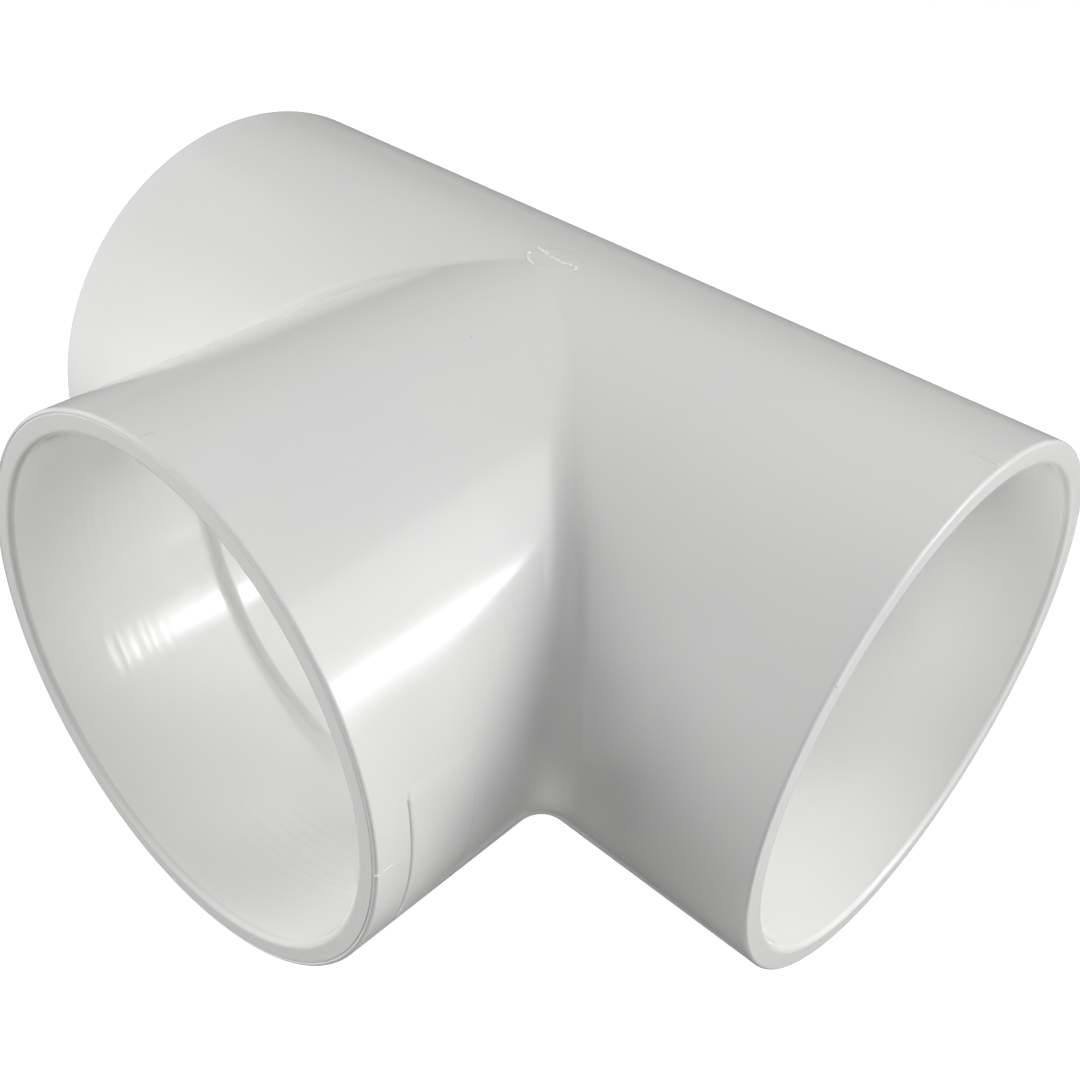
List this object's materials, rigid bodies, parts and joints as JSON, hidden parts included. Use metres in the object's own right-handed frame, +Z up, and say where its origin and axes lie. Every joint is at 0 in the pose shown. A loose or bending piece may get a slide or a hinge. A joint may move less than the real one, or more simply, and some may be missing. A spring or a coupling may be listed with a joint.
{
  "type": "tee fitting",
  "caption": "White plastic equal tee for pressure pipe: a straight run with a branch square to it, plain round barrels, and a solvent-weld socket in each mouth.",
  "frame": {"origin": "the point where the axes of the run and of the branch cross, from which a fitting's centre-to-end lengths are measured", "axes": "+X along the run towards its right mouth, -Y along the branch towards its mouth, +Z up, square to the plane of the three axes"},
  "size_m": [0.223, 0.1745, 0.1265],
  "materials": {
    "upvc_moulding": "satin white uPVC, glossier inside the sockets",
    "upvc_gate_scar": "matte white uPVC where the sprue was cut off"
  },
  "bodies": {
    "root": {"tee_body": "upvc_moulding", "gate_land": "upvc_gate_scar", "sprue_line": "upvc_gate_scar", "left_alignment_mark": "upvc_moulding", "right_alignment_mark": "upvc_moulding", "branch_alignment_mark": "upvc_moulding", "blank_marking_pad": "upvc_moulding"}
  },
  "joints": []
}
